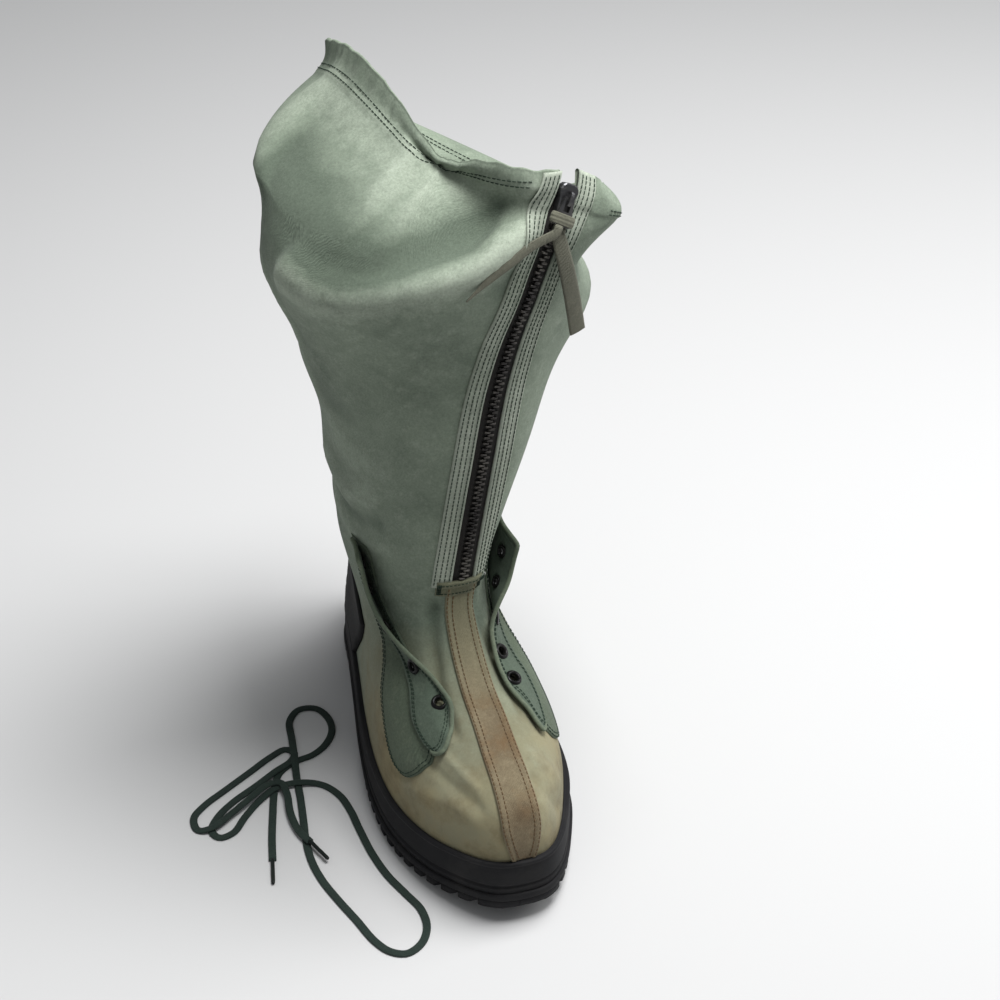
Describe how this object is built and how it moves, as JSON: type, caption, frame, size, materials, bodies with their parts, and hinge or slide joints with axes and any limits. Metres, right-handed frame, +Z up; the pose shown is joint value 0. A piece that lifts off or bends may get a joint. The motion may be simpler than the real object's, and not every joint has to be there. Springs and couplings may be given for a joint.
{
  "type": "extreme cold weather boot",
  "caption": "tall slack canvas cold weather boot with a moulded rubber sole and heel cup, a front zip, lace flaps with eyelets over the instep and a loose lace beside it",
  "frame": {"origin": "on the floor, on the bottom of the sole bar at the middle of the sole length", "axes": "+Z is up, -Y is the toe, +Y the heel, +X the inner (medial) side of a right boot and -X its outer side"},
  "size_m": [0.2754, 0.3282, 0.4472],
  "materials": {
    "rubber": "matt black moulded rubber",
    "canvas": "washed sage green cotton canvas",
    "felt": "grey wool felt",
    "strip_canvas": "tan canvas, soiled and frayed",
    "zip_tape": "dark woven zip tape",
    "zip_metal": "darkened metal teeth",
    "slider_metal": "dark worn zip slider and pull",
    "ribbon": "grey olive woven ribbon",
    "flap_canvas": "darker green canvas with a worn binding",
    "eyelet_enamel": "glossy black enamelled eyelet",
    "lace_cord": "flat braided dark green lace",
    "lace_tip": "hard dark lace tip"
  },
  "bodies": {
    "boot": {"outsole": "rubber", "foxing": "rubber", "heel_counter": "rubber", "upper": "canvas", "insole": "felt", "front_strip": "strip_canvas", "zip_tape": "zip_tape", "zip_chain": "zip_metal", "zip_facing_lateral": "canvas", "zip_facing_medial": "canvas", "fly_shield": "canvas", "zip_slider": "slider_metal", "lace_patch_lateral": "flap_canvas", "lace_flap_lateral": "flap_canvas", "lace_patch_medial": "flap_canvas", "lace_flap_medial": "flap_canvas", "eyelet_lateral_1": "eyelet_enamel", "eyelet_lateral_2": "eyelet_enamel", "eyelet_lateral_3": "eyelet_enamel", "eyelet_lateral_4": "eyelet_enamel", "eyelet_lateral_5": "eyelet_enamel", "eyelet_medial_1": "eyelet_enamel", "eyelet_medial_2": "eyelet_enamel", "eyelet_medial_3": "eyelet_enamel", "eyelet_medial_4": "eyelet_enamel", "eyelet_medial_5": "eyelet_enamel", "lace": "lace_cord", "lace_tip_front": "lace_tip", "lace_tip_rear": "lace_tip"},
    "pull_tab": {"pull_tab": "slider_metal", "ribbon_knot": "ribbon", "ribbon_tail_wide": "ribbon", "ribbon_tail_thin": "ribbon"}
  },
  "joints": [
    {"name": "pull_tab_hinge", "type": "hinge", "parent": "boot", "child": "pull_tab", "pos_m": [0.06887, -0.0265, 0.40108], "axis": [-0.8598, -0.0648, 0.5065], "range_deg": [0, 130]}
  ]
}
